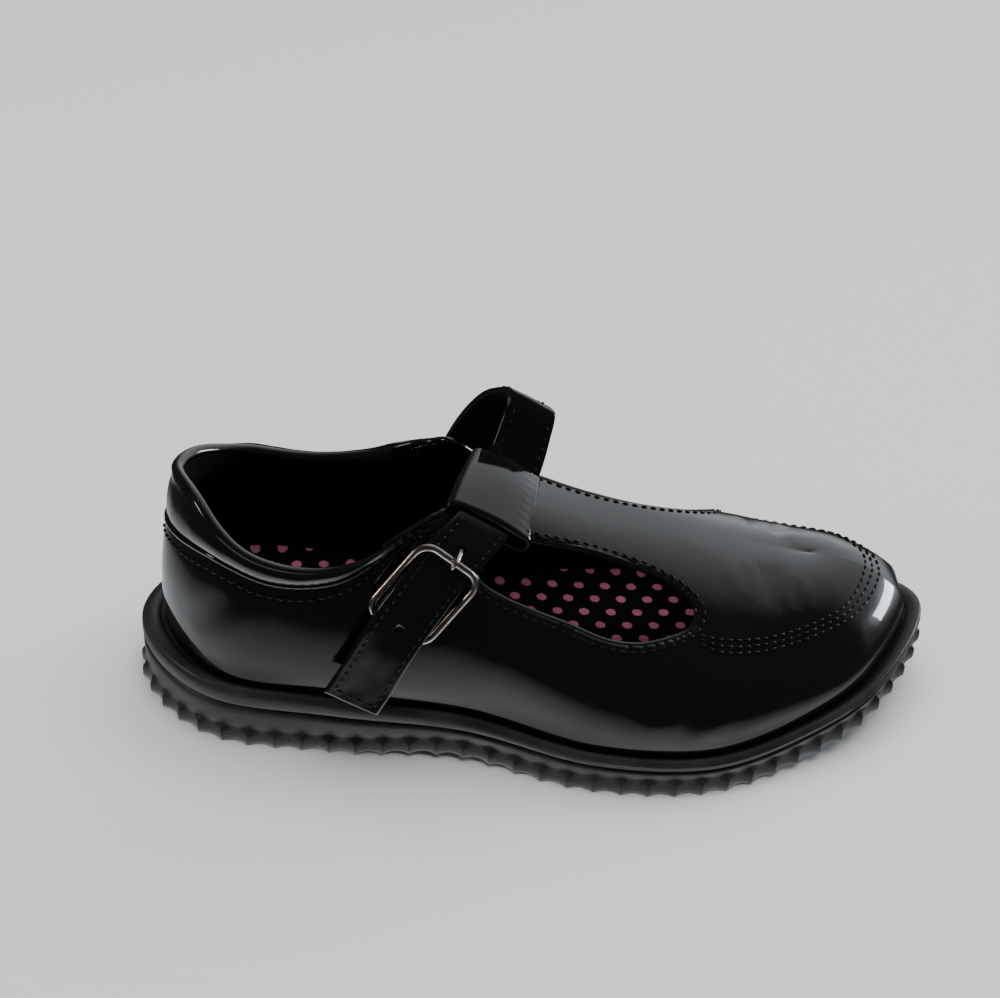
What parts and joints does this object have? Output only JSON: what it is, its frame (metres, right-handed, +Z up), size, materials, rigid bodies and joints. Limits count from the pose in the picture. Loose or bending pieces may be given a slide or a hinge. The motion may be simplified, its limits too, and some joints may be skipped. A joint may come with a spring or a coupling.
{
  "type": "mary jane shoe",
  "caption": "Child's T-bar mary jane in patent leather: hollow upper with side cut-outs, padded collar, buckled ankle strap through a folded loop, and a lugged rubber sole",
  "frame": {"origin": "on the ground under the middle of the whole shoe's box", "axes": "+X to the toe, +Y to the medial side, +Z up"},
  "size_m": [0.2121, 0.0856, 0.0828],
  "materials": {
    "patent": "black patent leather with a clear mirror-like coat, lined in black cloth",
    "rubber": "black moulded rubber, satin",
    "insole_print": "black cloth sock with a dusty pink dot print",
    "buckle_metal": "antique nickel wire, warm grey, softly polished"
  },
  "bodies": {
    "root": {"outsole": "rubber", "midsole": "rubber", "insole": "insole_print", "upper": "patent", "collar": "patent", "strap_loop": "patent", "ankle_strap": "patent", "buckle_frame": "buckle_metal", "buckle_prong": "buckle_metal", "buckle_chape": "patent"}
  },
  "joints": []
}
